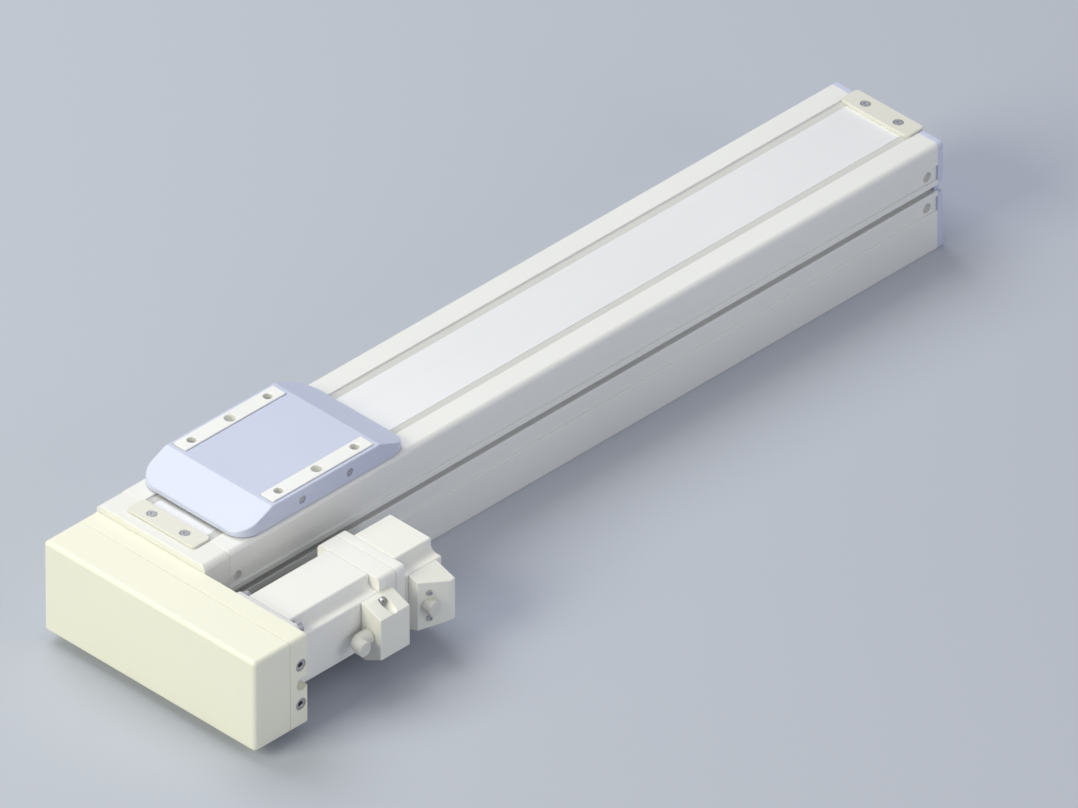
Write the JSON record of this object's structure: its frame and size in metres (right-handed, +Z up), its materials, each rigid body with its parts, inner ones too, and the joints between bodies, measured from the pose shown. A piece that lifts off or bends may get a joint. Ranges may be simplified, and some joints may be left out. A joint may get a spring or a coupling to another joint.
{
  "type": "ball screw linear module",
  "caption": "Closed ball screw linear actuator with a sealing strip, a covered slide with raised mounting pads and a servo motor folded back beside the profile by a belt box.",
  "frame": {"origin": "on the mounting face, at the middle of the profile length and width", "axes": "+X from the screw to the motor, +Y along the module away from the belt box, +Z up"},
  "size_m": [0.2045, 0.7657, 0.1051],
  "materials": {
    "profile_anodised": "satin clear anodised extrusion",
    "end_castings": "fine blasted, clear anodised",
    "end_plate_paint": "satin lavender grey paint",
    "clamp_anodised": "satin anodised",
    "ground_steel": "ground bearing steel",
    "screw_steel": "stainless socket screws",
    "magnet_band": "flexible magnet band, pale grey face",
    "strip_steel": "bright cold-rolled stainless strip",
    "roller_steel": "ground",
    "holder_plastic": "moulded acetal",
    "pulley_aluminium": "hard anodised",
    "encoder_glass": "coated disc",
    "belt_rubber": "moulded neoprene",
    "bumper_rubber": "solid rubber",
    "box_paint": "satin cream powder coat",
    "adapter_anodised": "satin anodised",
    "motor_paint": "satin pale grey paint",
    "encoder_plastic": "moulded",
    "connector_plastic": "moulded",
    "boot_rubber": "moulded pale boot",
    "table_anodised": "machined and anodised",
    "slide_paint": "satin lavender grey paint"
  },
  "bodies": {
    "base": {"profile": "profile_anodised", "rail_left": "ground_steel", "rail_right": "ground_steel", "rail_screws": "screw_steel", "magnet_bands": "magnet_band", "drive_end_block": "end_castings", "bearing_retainer": "ground_steel", "bearing_outer_rings": "ground_steel", "far_support": "end_castings", "far_end_plate": "end_plate_paint", "end_plate_screws": "screw_steel", "strip_clamp_near": "clamp_anodised", "strip_clamp_far": "clamp_anodised", "clamp_screws": "screw_steel", "strip_near": "strip_steel", "strip_far": "strip_steel", "box_plate": "box_paint", "box_cover": "box_paint", "drive_end_screws": "screw_steel", "box_screws": "screw_steel", "drive_belt": "belt_rubber", "bumpers": "bumper_rubber", "motor_adapter": "adapter_anodised", "motor_flange": "motor_paint", "motor_body": "motor_paint", "motor_end_bell": "motor_paint", "encoder_base": "motor_paint", "encoder_cover": "encoder_plastic", "motor_screws": "screw_steel", "power_connector": "connector_plastic", "encoder_connector": "connector_plastic", "cable_boots": "boot_rubber", "connector_screws": "screw_steel"},
    "screw": {"ball_screw": "ground_steel", "screw_pulley": "pulley_aluminium", "screw_lock_nut": "ground_steel", "screw_inner_rings": "ground_steel"},
    "rotor": {"motor_shaft": "ground_steel", "motor_pulley": "pulley_aluminium", "encoder_disc": "encoder_glass", "motor_inner_rings": "ground_steel"},
    "carriage": {"slide_table": "table_anodised", "slide_cover": "slide_paint", "cover_screws": "screw_steel", "saddle": "table_anodised", "saddle_screws": "screw_steel", "ball_nut": "ground_steel", "runner_near_left": "ground_steel", "runner_near_right": "ground_steel", "runner_far_left": "ground_steel", "runner_far_right": "ground_steel", "strip_hump": "strip_steel", "roller_holder_near": "holder_plastic", "roller_holder_far": "holder_plastic", "roller_pins": "ground_steel"},
    "press_roller_near_body": {"press_roller_near": "roller_steel"},
    "lift_roller_near_body": {"lift_roller_near": "roller_steel"},
    "lift_roller_far_body": {"lift_roller_far": "roller_steel"},
    "press_roller_far_body": {"press_roller_far": "roller_steel"}
  },
  "joints": [
    {"name": "slide_travel", "type": "slide", "parent": "base", "child": "carriage", "axis": [0, 1, 0], "range_m": [-0.006, 0.494], "deforming": ["strip_near", "strip_far"]},
    {"name": "screw_spin", "type": "hinge", "parent": "base", "child": "screw", "pos_m": [0, 0, 0.043], "axis": [0, 1, 0], "continuous": true},
    {"name": "rotor_spin", "type": "hinge", "parent": "base", "child": "rotor", "pos_m": [0.1025, 0, 0.043], "axis": [0, 1, 0], "continuous": true},
    {"name": "press_roller_near_spin", "type": "hinge", "parent": "carriage", "child": "press_roller_near_body", "pos_m": [0, -0.31855, 0.0892], "axis": [1, 0, 0], "continuous": true},
    {"name": "lift_roller_near_spin", "type": "hinge", "parent": "carriage", "child": "lift_roller_near_body", "pos_m": [0, -0.30655, 0.0906], "axis": [1, 0, 0], "continuous": true},
    {"name": "lift_roller_far_spin", "type": "hinge", "parent": "carriage", "child": "lift_roller_far_body", "pos_m": [0, -0.19265, 0.0906], "axis": [1, 0, 0], "continuous": true},
    {"name": "press_roller_far_spin", "type": "hinge", "parent": "carriage", "child": "press_roller_far_body", "pos_m": [0, -0.18065, 0.0892], "axis": [1, 0, 0], "continuous": true}
  ],
  "couplings": [
    {"joint": "screw_spin", "follows": "slide_travel", "rad_per_m": -628.32},
    {"joint": "rotor_spin", "follows": "slide_travel", "rad_per_m": -628.32},
    {"joint": "press_roller_near_spin", "follows": "slide_travel", "rad_per_m": -333.33},
    {"joint": "lift_roller_near_spin", "follows": "slide_travel", "rad_per_m": 333.33},
    {"joint": "lift_roller_far_spin", "follows": "slide_travel", "rad_per_m": 333.33},
    {"joint": "press_roller_far_spin", "follows": "slide_travel", "rad_per_m": -333.33}
  ]
}
